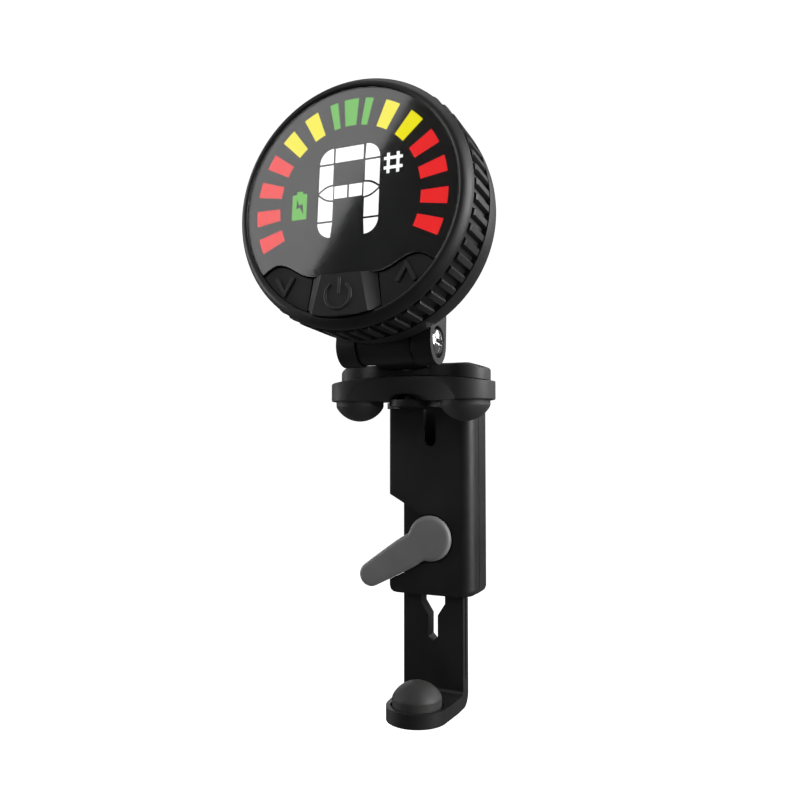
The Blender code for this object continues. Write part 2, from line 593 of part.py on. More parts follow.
def build_lever(pivot):
    full, rounded = lever_outline(), lever_outline(0.5)
    sections = [(rounded, LEVER_FRONT), (full, LEVER_FRONT + 0.5), (full, LEVER_SEAT)]
    lever = part("lock_lever", loft(sections, "XZ"), "lever", pivot)
    heading = math.radians(180 + LEVER_DROP)
    along = Vector((math.cos(heading), math.sin(heading)))
    across = Vector((-along.y, along.x))
    tip = along * LEVER_REACH
    end = arc((tip.x, tip.y), LEVER_TIP, 95 + LEVER_DROP, 265 + LEVER_DROP, 12)
    heel = [along * 5.4 + across * LEVER_ROOT * 0.96, along * 5.4 - across * LEVER_ROOT * 0.96]
    arm = [tuple(heel[1])] + end + [tuple(heel[0])]
    add(lever, prism(arm, LEVER_SEAT - 0.4, ARM_BACK, "XZ"))
    cut(lever, prism(circle(RIVET_SHANK + GAP, 20), 8.9, 10.0, "XZ"))
    cut(lever, turned([(1.65, 9.1), (4.0, 9.1), (4.0, 10.0), (1.65, 10.0)], 32, "XZ", ring=True))
    rivet = [(RIVET_SHANK, 9.2), (RIVET_SHANK, 10.2), (1.25, 10.6)]
    part("lever_rivet", turned(rivet, 20, "XZ"), "steel", pivot)
    shoe = prism(shoe_outline(0.0, LEVER_Z), 9.55, 10.75, "XZ")
    part("brake_shoe", shoe, "nylon")


def main():
    clear()
    swivel = axis_empty("swivel_axis", (0, 0, 0))
    tilt = axis_empty("tilt_axis", (0, HINGE_Y, HINGE_Z), swivel, REST_TILT)
    face = (0, FACE_AHEAD, FACE_ABOVE)
    turn = axis_empty("turn_axis", face, tilt)
    lever = axis_empty("lever_axis", (0, 0, LEVER_Z))
    for build in (build_bezel, build_grip, build_window, build_keys, build_electronics, build_drum_back):
        build(turn)
    build_yoke(tilt, face)
    build_hinge(tilt, swivel)
    build_swivel(swivel)
    build_carrier()
    build_bracket()
    build_cover()
    build_swivel_fastening()
    build_jaw()
    build_lever(lever)


main()
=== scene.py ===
"""Looks for the clip-on tuner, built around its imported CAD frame.

Lengths in the shape code are millimetres. World axes: X to the right, Y away from the viewer, Z up.
The head's own frame has its origin at the display's centre: x right, y into the head, z up the display.
"""
import json
import math

import bmesh
import bpy
from mathutils import Matrix, Vector

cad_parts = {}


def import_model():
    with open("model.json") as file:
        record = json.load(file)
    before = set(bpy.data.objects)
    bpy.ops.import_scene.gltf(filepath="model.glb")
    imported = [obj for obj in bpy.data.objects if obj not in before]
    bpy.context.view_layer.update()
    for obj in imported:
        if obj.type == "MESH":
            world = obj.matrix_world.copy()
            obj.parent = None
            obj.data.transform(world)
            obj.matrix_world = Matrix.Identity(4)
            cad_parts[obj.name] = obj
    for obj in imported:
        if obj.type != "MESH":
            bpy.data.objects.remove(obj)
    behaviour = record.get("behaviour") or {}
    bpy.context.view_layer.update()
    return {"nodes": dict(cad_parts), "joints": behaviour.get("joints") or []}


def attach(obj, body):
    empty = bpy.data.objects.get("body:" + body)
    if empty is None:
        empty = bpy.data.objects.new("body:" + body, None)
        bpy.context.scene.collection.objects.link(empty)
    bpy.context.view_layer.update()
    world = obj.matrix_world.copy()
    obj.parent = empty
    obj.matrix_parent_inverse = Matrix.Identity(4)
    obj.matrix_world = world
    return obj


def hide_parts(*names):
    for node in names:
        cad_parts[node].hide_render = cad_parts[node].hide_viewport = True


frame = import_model()

MM = 0.001
JOINTS = {joint["name"]: joint for joint in frame["joints"]}
TURN = JOINTS["display_turn"]
LEAN = math.atan2(TURN["axis"][2], TURN["axis"][1])
HEAD = Matrix.Translation(TURN["pos_m"]) @ Matrix.Rotation(LEAN, 4, "X")
HINGE = Vector(JOINTS["head_tilt"]["pos_m"]) / MM
LEVER_AT = Vector(JOINTS["lock_lever_turn"]["pos_m"]) / MM
WORLD = Matrix.Identity(4)

# Camera: place in metres, angles in degrees
CAMERA_AT = (0.05638, -0.132635, -0.002605)
CAMERA_AZIMUTH, CAMERA_PITCH = 23.854, 2.614
LENS_MM, SENSOR_MM = 34.805, 36.0
CLIP_M = (0.005, 20.0)

# Studio, in metres, and the lights: place, width, height and watts
FLOOR_RADIUS, SURROUND_RADIUS, FLOOR_Z = 2.4, 2.5, -0.4
SOFTBOXES = {
    "key_right": ((0.62, -0.02, 0.2), 0.35, 0.5, 5.6),
    "back_right": ((0.4, 0.5, 0.25), 0.4, 0.4, 1.1),
    "back_left": ((-0.45, 0.55, 0.2), 0.4, 0.4, 0.9),
    "left_strip": ((-0.6, -0.1, 0.12), 0.25, 0.6, 1.6),
    "top": ((0.0, 0.05, 0.7), 0.5, 0.5, 1.1),
    "low_fill": ((0.12, -0.12, -0.4), 0.5, 0.5, 0.45),
}
CARD_WIDTH, CARD_HEIGHT, CARD_POWER, CARD_DISTANCE = 0.24, 0.5, 0.64, 0.4
CARD_EDGE = ((-0.243, 0.124), (-0.165, 0.251))  # right and up from the display's centre
FLOOR_GLOW, SURROUND_GLOW = 1.1, 1.0

# Display, in the head's frame
LENS_RADIUS = 18.7
GLYPH_LIFT, GLYPH_ROOT = 0.03, 0.02
SEGMENT_INNER, SEGMENT_OUTER = 12.5, 16.95
SEGMENTS = (  # degrees from the top, degrees wide, colour
    (0.0, 8.78, "green"), (10.92, 4.89, "green"), (25.85, 8.97, "yellow"), (42.94, 8.97, "yellow"),
    (59.82, 8.97, "red"), (76.69, 8.97, "red"), (93.92, 8.97, "red"), (110.71, 8.97, "red"),
)
BROW_LOW, BROW_HIGH, BROW_DROP = -11.95, -9.57, 1.4
KEY_STEP, BROW_PEAK, BROW_END = 5.7, 12.15, 15.0
KEY_BACK = 2.2
TABLE_DEPTH = -1.5
RIBS = 55

# Yoke and hinge: the hinge's centre in the head's frame, as (depth, height)
EAR_AT = (17.854, -19.708)
EAR_SIDES = ((-9.0, -5.35), (5.35, 9.0))
NECK_HALF = 4.85
HINGE_BORE = 2.15

# Clamp: pads, post and lever
PAD_SPACING = 10.65
PLATE_LOBE, PLATE_WAIST = 4.2, 2.4
CARRIER_LOBE, CARRIER_WAIST = 5.45, 3.9
CARRIER_TOP, PLATE_UNDERSIDE = 7.14, 7.3
ARCH_RISE, ARCH_REACH = 1.05, 15
LOBE_STEPS = 28
NOSE_RADIUS = 4.06
POST_LOW, POST_TOP = -33.8, 3.2
POST_HALF, POST_INNER = 8.85, 6.55
POST_FRONT, POST_SPLIT = 9.4, 13.1
NOTCH_REACH = -12.0
NOTCH_UPPER_SLOPE, NOTCH_LOWER_SLOPE = 0.5617, 0.4968
HUB_WELL = 4.75
LEVER_HEADING = 211.45
LEVER_REACH, LEVER_TIP = 14.92, 2.43

# Jaw
JAW_PAD_Y = 2.7
FOOT_LOW, FOOT_TOP = -55.3, -52.7
JAW_FRONT, JAW_BACK, JAW_HALF = 10.95, 13.9, 6.25
SLIDER_TOP = -12.7


# ---- materials ------------------------------------------------------------------------------------

GRAIN_DEPTH = 0.02  # mm
MOTTLE_SCALE = 160
ACRYLIC_IOR = 1.49
GLOW, GLOW_WHITE = 0.95, 1.1


def shader(name, roughness=0.5, metallic=0.0, specular=0.5):
    """A Principled material, its nodes and its links."""
    made = bpy.data.materials.new(name)
    made.use_nodes = True
    tree = made.node_tree
    body = tree.nodes["Principled BSDF"]
    body.inputs["Roughness"].default_value = roughness
    body.inputs["Metallic"].default_value = metallic
    body.inputs["Specular IOR Level"].default_value = specular
    return made, tree, body


def noise(tree, scale, detail):
    """Noise over the object's own coordinates; scale is features per metre."""
    where = tree.nodes.new("ShaderNodeTexCoord")
    texture = tree.nodes.new("ShaderNodeTexNoise")
    texture.inputs["Scale"].default_value = scale
    texture.inputs["Detail"].default_value = detail
    tree.links.new(where.outputs["Object"], texture.inputs["Vector"])
    return texture.outputs["Fac"]


NOISE_LOW, NOISE_HIGH = 0.3, 0.7


def colour_ramp(tree, fac, stops):
    """A ramp between two (position, colour) stops."""
    ramp = tree.nodes.new("ShaderNodeValToRGB")
    for element, (position, colour) in zip(ramp.color_ramp.elements, stops):
        element.position = position
        element.color = (*colour, 1.0)
    tree.links.new(fac, ramp.inputs["Fac"])
    return ramp.outputs["Color"]


def vary_colour(tree, body, fac, dark, light):
    """Drives the base colour between two tones."""
    colour = colour_ramp(tree, fac, ((NOISE_LOW, dark), (NOISE_HIGH, light)))
    tree.links.new(colour, body.inputs["Base Color"])


def vary_roughness(tree, body, fac, low, high):
    """Drives the roughness between two values."""
    span = tree.nodes.new("ShaderNodeMapRange")
    span.inputs["From Min"].default_value = NOISE_LOW
    span.inputs["From Max"].default_value = NOISE_HIGH
    span.inputs["To Min"].default_value = low
    span.inputs["To Max"].default_value = high
    tree.links.new(fac, span.inputs["Value"])
    tree.links.new(span.outputs["Result"], body.inputs["Roughness"])


def grain(tree, body, fac, strength, depth_mm):
    """Surface relief from a height field."""
    bump = tree.nodes.new("ShaderNodeBump")
    bump.inputs["Strength"].default_value = strength
    bump.inputs["Distance"].default_value = depth_mm * MM
    tree.links.new(fac, bump.inputs["Height"])
    tree.links.new(bump.outputs["Normal"], body.inputs["Normal"])


def moulded(name, dark, light, rough, grain_scale=3200, grain_strength=0.35, metallic=0.0):
    """Moulded, sprayed or plated surface: a little tone and gloss variation and a fine grain."""
    made, tree, body = shader(name, metallic=metallic)
    broad = noise(tree, MOTTLE_SCALE, 4.0)
    vary_colour(tree, body, broad, dark, light)
    vary_roughness(tree, body, broad, *rough)
    grain(tree, body, noise(tree, grain_scale, 2.0), grain_strength, GRAIN_DEPTH)
    return made


def self_lit(body, colour, strength):
    """Gives a material its own glow."""
    body.inputs["Emission Color"].default_value = (*colour, 1.0)
    body.inputs["Emission Strength"].default_value = strength


def lit(name, colour, strength):
    """A lit display element: its glow over a dim tone of the same colour."""
    made, tree, body = shader(name, specular=0.2)
    low, high = (tuple(share * c for c in colour) for share in (0.24, 0.28))
    vary_colour(tree, body, noise(tree, 900, 2.0), low, high)
    self_lit(body, colour, strength)
    return made


def window_material():
    """Clear polished window with the faintest waviness."""
    made, tree, body = shader("window_clear", roughness=0.05)
    body.inputs["Transmission Weight"].default_value = 1.0
    body.inputs["IOR"].default_value = ACRYLIC_IOR
    vary_colour(tree, body, noise(tree, 60, 2.0), (0.97, 0.97, 0.97), (1.0, 1.0, 1.0))
    vary_roughness(tree, body, noise(tree, 220, 3.0), 0.04, 0.06)
    grain(tree, body, noise(tree, 90, 1.0), 0.04, GRAIN_DEPTH)
    return made


MATERIALS = {
    "black": moulded("black_moulding", (0.0085, 0.0085, 0.0085), (0.0115, 0.0115, 0.0115), (0.42, 0.52)),
    # The matte moulding is about three times lighter than the black: partly the swivel plate's and carrier's
    # own plastic, partly painted light making up for shade from the barrel, drum and pads.
    "matte": moulded(
        "matte_moulding_with_painted_light", (0.025, 0.025, 0.0248), (0.031, 0.031, 0.0306), (0.50, 0.60), 2600, 0.45),
    "key": moulded("key_rubber", (0.0100, 0.0100, 0.0098), (0.0135, 0.0135, 0.0130), (0.50, 0.60)),
    "symbol": moulded("key_symbol", (0.018, 0.018, 0.018), (0.024, 0.024, 0.024), (0.45, 0.55)),
    # The pad rubber is lighter than the body: partly the rubber's own dark grey, partly painted light lifting
    # the downward-facing domes.
    "rubber": moulded("pad_rubber_with_painted_light", (0.028, 0.028, 0.0275), (0.036, 0.036, 0.0353), (0.55, 0.66), 2400),
    "grey": moulded("lever_grey", (0.215, 0.215, 0.215), (0.245, 0.245, 0.245), (0.42, 0.5), 3600, 0.2),
    "chrome": moulded("chrome", (0.62, 0.62, 0.63), (0.72, 0.72, 0.73), (0.1, 0.16), 1500, 0.05, 1.0),
    "steel": moulded("plated_steel", (0.4, 0.4, 0.41), (0.52, 0.52, 0.53), (0.26, 0.36), 2600, 0.1, 1.0),
    "brass": moulded("brass", (0.55, 0.36, 0.13), (0.68, 0.47, 0.19), (0.25, 0.36), 2600, 0.1, 1.0),
    "board": moulded("solder_mask", (0.012, 0.11, 0.04), (0.02, 0.16, 0.06), (0.35, 0.5)),
    "foil": moulded("cell_foil", (0.45, 0.46, 0.48), (0.58, 0.59, 0.61), (0.3, 0.45), 700, 0.3, 1.0),
    "nylon": moulded("nylon", (0.52, 0.52, 0.48), (0.62, 0.62, 0.57), (0.4, 0.55)),
    "milky": moulded("diffuser", (0.68, 0.68, 0.68), (0.78, 0.78, 0.78), (0.4, 0.5)),
    "window": window_material(),
    "print": moulded("panel_black", (0.006, 0.006, 0.0063), (0.008, 0.008, 0.0082), (0.5, 0.6)),
    "red": lit("segment_red", (0.863, 0.020, 0.022), GLOW),
    "yellow": lit("segment_yellow", (0.913, 0.823, 0.006), GLOW),
    "green": lit("segment_green", (0.118, 0.48, 0.055), GLOW),
    "white": lit("segment_white", (1.0, 1.0, 1.0), GLOW_WHITE),
}


# ---- outlines -------------------------------------------------------------------------------------

def arc(centre, radius, start, end, steps):
    """Points on an arc from start to end, in degrees, both ends included."""
    angles = [math.radians(start + (end - start) * i / steps) for i in range(steps + 1)]
    return [(centre[0] + radius * math.cos(a), centre[1] + radius * math.sin(a)) for a in angles]


def circle(radius, steps, centre=(0, 0)):
    """A closed circle, its first point not repeated."""
    return arc(centre, radius, 0, 360 - 360 / steps, steps - 1)


def box(low_u, high_u, low_v, high_v):
    """A rectangle."""
    return [(low_u, low_v), (high_u, low_v), (high_u, high_v), (low_u, high_v)]


def ease(share):
    """A smooth rise from 0 to 1."""
    share = min(1.0, max(0.0, share))
    return (1 - math.cos(math.pi * share)) / 2


def softened(points, rounds):
    """Cuts the corners off an open line of points, a few times over."""
    for _ in range(rounds):
        made = [points[0]]
        for a, b in zip(points, points[1:]):
            made.append(tuple(0.75 * p + 0.25 * q for p, q in zip(a, b)))
            made.append(tuple(0.25 * p + 0.75 * q for p, q in zip(a, b)))
        points = made + [points[-1]]
    return points


def brow(x):
    """Height of the line between the window and the keys, x from the middle."""
    x = abs(x)
    if x < KEY_STEP:
        return BROW_LOW
    if x < BROW_PEAK:
        return BROW_LOW + (BROW_HIGH - BROW_LOW) * ease((x - KEY_STEP) / (BROW_PEAK - KEY_STEP))
    share = (x - BROW_PEAK) / (BROW_END - BROW_PEAK)
    return BROW_HIGH - BROW_DROP * (1 - math.cos(math.pi / 2 * share))


def brow_end(radius, lift):
    """Where the lifted brow line meets a circle of that radius."""
    near, far = BROW_PEAK, radius
    for _ in range(30):
        x = (near + far) / 2
        inside = math.hypot(x, brow(x) + lift) < radius
        near, far = (x, far) if inside else (near, x)
    return near


def window_outline(inset):
    """The round window with the keys' area taken off its lower side."""
    radius = LENS_RADIUS - inset
    end = brow_end(radius, inset)
    steps = 60
    xs = [-end + 2 * end * i / steps for i in range(steps + 1)]
    lower = [(x, brow(x) + inset) for x in xs]
    angle = math.degrees(math.atan2(lower[-1][1], lower[-1][0]))
    return lower[:-1] + arc((0, 0), radius, angle, 180 - angle, 100)[:-1]


def side_key_outline(side, inset):
    """A key beside the power key, side -1 for left and 1 for right."""
    radius, drop = LENS_RADIUS + 0.05 - inset, -0.12 - inset
    end = brow_end(radius, drop)
    start, foot = KEY_STEP + 0.1 + inset, 6.55 + inset
    rim_start = math.degrees(math.atan2(-math.sqrt(radius**2 - foot**2), foot))
    rim_end = math.degrees(math.atan2(brow(end) + drop, end))
    rim = arc((0, 0), radius, rim_start, rim_end, 24)
    top = [end + (start - end) * i / 30 for i in range(1, 31)]
    outline = rim + [(x, brow(x) + drop) for x in top]
    return [(side * x, y) for x, y in outline]


def peanut(lobe, waist, inset):
    """Two round lobes joined by a smooth waist."""
    lobe, waist = lobe - inset, waist - inset
    ends = arc((PAD_SPACING, 0), lobe, -90, 90, LOBE_STEPS)
    span = [PAD_SPACING * (1 - 2 * i / (2 * LOBE_STEPS)) for i in range(1, 2 * LOBE_STEPS)]
    side = [(x, waist + (lobe - waist) * (1 - math.cos(math.pi * x / PAD_SPACING)) / 2) for x in span]
    half = ends + side
    return half + [(-x, -y) for x, y in half]


# ---- meshes ---------------------------------------------------------------------------------------

def skin(rings, ring=False):
    """A closed surface through equal loops of points. A ring joins its last loop to its first."""
    mesh = bmesh.new()
    loops = [[mesh.verts.new(Vector(point) * MM) for point in points] for points in rings]
    pairs = list(zip(loops, loops[1:]))
    if ring:
        pairs.append((loops[-1], loops[0]))
    else:
        mesh.faces.new(loops[0])
        mesh.faces.new(loops[-1])
    for lower, upper in pairs:
        for i in range(len(lower)):
            j = (i + 1) % len(lower)
            mesh.faces.new((lower[i], lower[j], upper[j], upper[i]))
    bmesh.ops.recalc_face_normals(mesh, faces=mesh.faces)
    return mesh


PLANES = {
    "XY": lambda u, v, w: (u, v, w),
    "XZ": lambda u, v, w: (u, w, v),
    "YZ": lambda u, v, w: (w, u, v),
}


def loft(sections, plane="XY", ring=False):
    """A closed solid through (outline, height) sections."""
    place = PLANES[plane]
    return skin([[place(u, v, w) for u, v in outline] for outline, w in sections], ring)


def prism(outline, low, high, plane="XY"):
    """A straight extrusion."""
    return loft([(outline, low), (outline, high)], plane)


def turned(profile, steps, plane="XY", centre=(0, 0), ring=False):
    """A body of revolution through (radius, height) points."""
    return loft([(circle(radius, steps, centre), height) for radius, height in profile], plane, ring)


def merged(meshes):
    """Several solids in one mesh."""
    whole = bmesh.new()
    for mesh in meshes:
        copy = bpy.data.meshes.new("solid")
        mesh.to_mesh(copy)
        mesh.free()
        whole.from_mesh(copy)
        bpy.data.meshes.remove(copy)
    return whole


def neighbours(path, i):
    """The points before and after one point of an open path."""
    return Vector(path[max(i - 1, 0)]), Vector(path[min(i + 1, len(path) - 1)])


def sweep(path, half_width, height, plane_y):
    """A low ridge with a round top, along a path on a plane facing -Y."""
    angles = [math.pi * i / 8 for i in range(9)]
    section = [(half_width * math.cos(a), height * math.sin(a)) for a in angles]
    rings = []
    for i, point in enumerate(path):
        before, after = neighbours(path, i)
        along = (after - before).normalized()
        across = Vector((-along.y, along.x))
        ring = []
        for side, rise in section:
            spot = Vector(point) + across * side
            ring.append((spot.x, plane_y - rise, spot.y))
        rings.append(ring)
    return skin(rings)


# ---- pieces ---------------------------------------------------------------------------------------

ITEMS = []


def linked(name, data):
    """A new object in the scene."""
    item = bpy.data.objects.new(name, data)
    bpy.context.collection.objects.link(item)
    return item


def apply_modifiers(item):
    """Bakes an object's modifiers into its mesh."""
    graph = bpy.context.evaluated_depsgraph_get()
    baked = bpy.data.meshes.new_from_object(item.evaluated_get(graph))
    item.modifiers.clear()
    item.data = baked


def smooth_faces(item, angle):
    """Smooth shading, with a crease where faces meet at more than the angle, in degrees."""
    item.data.shade_smooth()
    item.data.set_sharp_from_angle(angle=math.radians(angle))


def add_bevel(item, width, segments, angle):
    """Rounds the edges where faces meet at more than the angle, in degrees."""
    bevel = item.modifiers.new("edges", "BEVEL")
    bevel.width = width * MM
    bevel.segments = segments
    bevel.limit_method = "ANGLE"
    bevel.angle_limit = math.radians(angle)


def even_shading(item):
    """Lets the large faces set the normals, so flats stay flat beside their rounded edges."""
    item.modifiers.new("normals", "WEIGHTED_NORMAL").keep_sharp = True
    apply_modifiers(item)


def place_object(name, mesh, matrix):
    """Turns a bmesh into an object."""
    data = bpy.data.meshes.new(name)
    mesh.to_mesh(data)
    mesh.free()
    item = linked(name, data)
    item.matrix_world = matrix
    return item


def piece(name, mesh, material, body, stands_for=(), matrix=WORLD, edge=0.0, smooth=35.0):
    """One visible piece: its mesh, look, body and the CAD nodes that it stands for."""
    item = place_object(name, mesh, matrix)
    item.data.materials.append(MATERIALS[material])
    smooth_faces(item, smooth)
    if edge:
        add_bevel(item, edge, 3, 32)
    if stands_for:
        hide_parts(*stands_for)
    ITEMS.append((item, body))
    return item


def carve(item, mesh, operation="DIFFERENCE"):
    """Takes a solid off a piece, or adds it, and applies the result."""
    tool = place_object("tool", mesh, item.matrix_world)
    modifier = item.modifiers.new("carve", "BOOLEAN")
    modifier.operation = operation
    modifier.solver = "EXACT"
    modifier.object = tool
    apply_modifiers(item)
    bpy.data.objects.remove(tool)


def round_edges(item, width, segments=3, angle=35.0, smooth=35.0):
    """Rounds an object's edges after it has been carved."""
    add_bevel(item, width, segments, angle)
    apply_modifiers(item)
    smooth_faces(item, smooth)


# ---- display drum ---------------------------------------------------------------------------------

def bezel():
    """The rounded front ring."""
    profile = [
        (18.8, 1.5), (18.74, 1.3), (18.72, 0.0), (18.72, -0.42), (18.82, -0.62), (19.1, -0.76), (19.45, -0.7),
        (19.85, -0.4), (20.2, 0.0), (20.48, 0.42), (20.6, 0.8), (20.56, 1.15), (20.4, 1.4), (20.1, 1.5),
    ]
    mesh = turned(softened(profile, 2), 192, "XZ", ring=True)
    piece("bezel", mesh, "black", "display_head", ["front_bezel"], HEAD, smooth=60)


def grip():
    """The knurled ring: flat-topped ribs behind the bezel, and a sleeve that runs into the rear cup."""
    root, crest, bore = 20.2, 20.9, 18.75
    front, back = 1.8, 7.8
    front_chamfer, back_chamfer = 0.22, 0.12
    half_gap, flank_width = 0.2, 0.075
    across = 16
    count = RIBS * across
    depths = [front, 1.84, 1.9, 2.0, 2.15, 3.0, 4.0, 5.2, 6.4, 7.55, 7.7, 7.77, back]
    rings = [[(bore, front)] * count, [(20.1, front)] * count]
    for depth in depths:
        chamfer = front_chamfer * (1 - ease((depth - front) / 0.3))
        chamfer += back_chamfer * ease((depth - 7.6) / 0.2)
        ring = []
        for i in range(count):
            phase = (i % across) / across
            rise = ease((abs((phase + 0.5) % 1 - 0.5) - half_gap) / flank_width)
            ring.append((max(root, root + (crest - root) * rise - chamfer), depth))
        rings.append(ring)
    for radius, depth in ((20.0, back), (19.3, back), (19.3, 9.0), (bore, 9.0)):
        rings.append([(radius, depth)] * count)
    shaped = []
    for ring in rings:
        points = []
        for i, (radius, depth) in enumerate(ring):
            angle = 2 * math.pi * i / count
            points.append((radius * math.cos(angle), depth, radius * math.sin(angle)))
        shaped.append(points)
    body = piece("grip_ring", skin(shaped, ring=True), "black", "display_head", ["knurled_grip"], HEAD)
    socket_opening = box(-22, -16, -4.3, 4.3)
    carve(body, prism(socket_opening, 5.2, 8.0, "XZ"))
    smooth_faces(body, 38)


def window():
    """A clear window over a black printed panel that carries the lit elements."""
    clear = [
        (window_outline(0.0), -0.07), (window_outline(0.0), -0.42), (window_outline(0.03), -0.46),
        (window_outline(0.1), -0.48),
    ]
    pane = piece("window", loft(clear, "XZ"), "window", "display_head", ["display_lens"], HEAD)
    pane.data.materials.append(MATERIALS["print"])
    facing = Vector(TURN["axis"])
    for face in pane.data.polygons:
        face.use_smooth = False
        if abs(face.normal.dot(facing)) < 0.3:
            face.material_index = 1
    panel = [(window_outline(0.05), 0.45), (window_outline(0.05), 0.0)]
    on_display("display_panel", loft(panel, "XZ"), "print")


def on_display(name, mesh, material):
    """A piece that turns with the drum."""
    piece(name, mesh, material, "display_head", (), HEAD)


def glyph(outline, lift=GLYPH_LIFT):
    """A thin plate just proud of the panel's plane."""
    return prism(outline, -lift, GLYPH_ROOT, "XZ")


def segments():
    """The arc of lit bars, mirrored about the green one at the top."""
    for number, (centre, width, colour) in enumerate(SEGMENTS):
        for side in (-1, 1):
            if centre == 0.0 and side < 0:
                continue
            middle = 90 - side * centre
            low, high = middle - width / 2, middle + width / 2
            outer = arc((0, 0), SEGMENT_OUTER, low, high, 10)
            inner = arc((0, 0), SEGMENT_INNER, high, low, 10)
            tag = {-1: "left", 1: "right"}[side] if centre else "centre"
            on_display(f"segment_{tag}_{number}", glyph(outer + inner), colour)


def note():
    """The note letter, drawn as the display's own bars, and a sharp sign."""
    left, right, inner = -5.33, 5.42, 2.72
    bend, swell = 2.45, 0.28
    head, upper, lower, foot = 6.62, 6.28, -2.92, -3.25
    near, far = -inner + 0.02, inner + 0.16

    def join(inside, outside):
        return bow(inside, outside, 2.72, 1.7, swell) + bow(outside, inside, 1.6, 0.42, -swell)

    bars = {
        "top": box(-2.52, 2.48, head, 8.98),
        "top_left": arc((left + bend, head), bend - 0.02, 90, 180, 10) + [(-inner - 0.12, head)],
        "top_right": [(inner + 0.12, head)] + arc((right - bend, head), bend - 0.02, 0, 90, 10),
        "middle_left": box(-2.5, -0.2, 0.62, 2.66),
        "middle_right": box(0.14, 2.44, 0.62, 2.66),
        "upper_left": [(left, upper), (-inner - 0.1, upper)] + bow(-inner - 0.1, left, 3.05, 2.0, swell),
        "upper_right": [(right, upper), (far, upper)] + bow(far, right, 3.05, 2.0, swell),
        "lower_left": [(left, lower), (near, lower)] + bow(near, left, 0.12, 1.3, -swell),
        "lower_right": [(right, lower), (far, lower)] + bow(far, right, 0.12, 1.3, -swell),
        "foot_left": [(near, foot), (left, foot)] + arc((left + bend, foot), bend, 180, 268, 10)[1:],
        "foot_right": arc((right - bend, foot), bend, 272, 360, 10) + [(far, foot)],
        "join_left": join(-inner, left + 0.12),
        "join_right": join(inner, right - 0.12),
    }
    for name, outline in bars.items():
        on_display(f"note_{name}", glyph(outline), "white")
    half = 0.25
    uprights = [glyph(box(u - half, u + half, 3.6, 6.9)) for u in (6.85, 8.5)]
    across = [glyph(box(6.1, 9.3, v - half, v + half), GLYPH_LIFT * 0.8) for v in (4.5, 6.05)]
    on_display("sharp_sign", merged(uprights + across), "white")


def bow(start_x, end_x, start_z, end_z, swell):
    """A slightly arched line between two points."""
    steps = 8
    line = []
    for i in range(steps + 1):
        share = i / steps
        arch = swell * math.sin(math.pi * share)
        line.append((start_x + (end_x - start_x) * share, start_z + (end_z - start_z) * share + arch))
    return line


def battery_icon():
    """A green cell with a dark bolt on it."""
    cell = box(-10.2, -7.5, -2.12, 2.15)
    nub = box(-9.4, -8.3, 2.05, 2.62)
    on_display("battery_icon", merged([glyph(cell), glyph(nub, GLYPH_LIFT * 0.98)]), "green")
    bolt = [(-9.35, 1.35), (-9.4, -0.3), (-8.8, 0.0), (-8.05, -1.3), (-8.3, 0.55), (-8.9, 0.25)]
    on_display("battery_bolt", prism(bolt, -GLYPH_LIFT - 0.02, 0.0, "XZ"), "print")


def keys():
    """The two arrow keys with their raised marks, and the power key."""
    for name, side in (("left", -1), ("right", 1)):
        sections = [
            (side_key_outline(side, 0.0), KEY_BACK), (side_key_outline(side, 0.0), 0.1),
            (side_key_outline(side, 0.05), 0.0), (side_key_outline(side, 0.15), -0.04),
        ]
        body = f"{name}_key"
        piece(f"key_{name}", loft(sections, "XZ"), "key", body, [f"button_{name}"], HEAD)
        middle, height = (10.5, -12.5) if side > 0 else (-10.85, -13.0)
        point = 1.35 * side
        path = [(middle - 1.55, height - point), (middle, height + point), (middle + 1.55, height - point)]
        mark = ribbon(path, 0.34, 0.36, -0.03)
        piece(f"mark_{name}", mark, "symbol", body, (), HEAD, edge=0.1)
    power_key()


def ribbon(path, half_width, height, plane_y):
    """A flat-topped stroke with a mitred corner, raised from a plane facing -Y."""
    left, right = [], []
    for i, point in enumerate(path):
        before, after = neighbours(path, i)
        into = (Vector(point) - before).normalized() if i else (after - Vector(point)).normalized()
        out = (after - Vector(point)).normalized() if i < len(path) - 1 else into
        across = Vector((-into.y - out.y, into.x + out.x)).normalized()
        reach = half_width / max(0.2, across.dot(Vector((-into.y, into.x))))
        left.append(tuple(Vector(point) + across * reach))
        right.append(tuple(Vector(point) - across * reach))
    return prism(left + right[::-1], plane_y - height, plane_y, "XZ")


def power_key():
    """A raised table with hollow flanks that meet the side keys."""
    rows, top, rim = 16, BROW_LOW - 0.12, 18.95
    table, table_spread = 3.45, 1.45
    foot, foot_spread = 5.6, 0.85
    rings = []
    for i in range(rows + 1):
        share = i / rows
        half_top = table + table_spread * share
        half_foot = foot + foot_spread * share
        ring = []
        for point, height in flank(half_top, half_foot):
            low = -math.sqrt(rim**2 - point**2)
            if height > -1.0:
                low = -math.sqrt((rim - 0.5 * (1 + height) - 0.1) ** 2 - point**2)
            ring.append((point, height, top + (low - top) * share))
        ring += [(half_foot, KEY_BACK, ring[-1][2]), (-half_foot, KEY_BACK, ring[-1][2])]
        rings.append(ring)
    piece("key_power", skin(rings), "key", "power_key", ["button_power"], HEAD, smooth=40)
    centre, radius, opening, steps = (-0.35, -15.5), 2.2, 38, 40
    ring = []
    for i in range(steps + 1):
        angle = math.radians(opening + (360 - 2 * opening) * i / steps)
        ring.append((centre[0] + radius * math.sin(angle), centre[1] + radius * math.cos(angle)))
    stem = [(-0.15, height) for height in (-12.8, -13.6, -14.4, -15.4)]
    stroke = 0.26
    marks = [sweep(path, stroke, stroke, TABLE_DEPTH + 0.01) for path in (ring, stem)]
    piece("mark_power", merged(marks), "symbol", "power_key", (), HEAD)


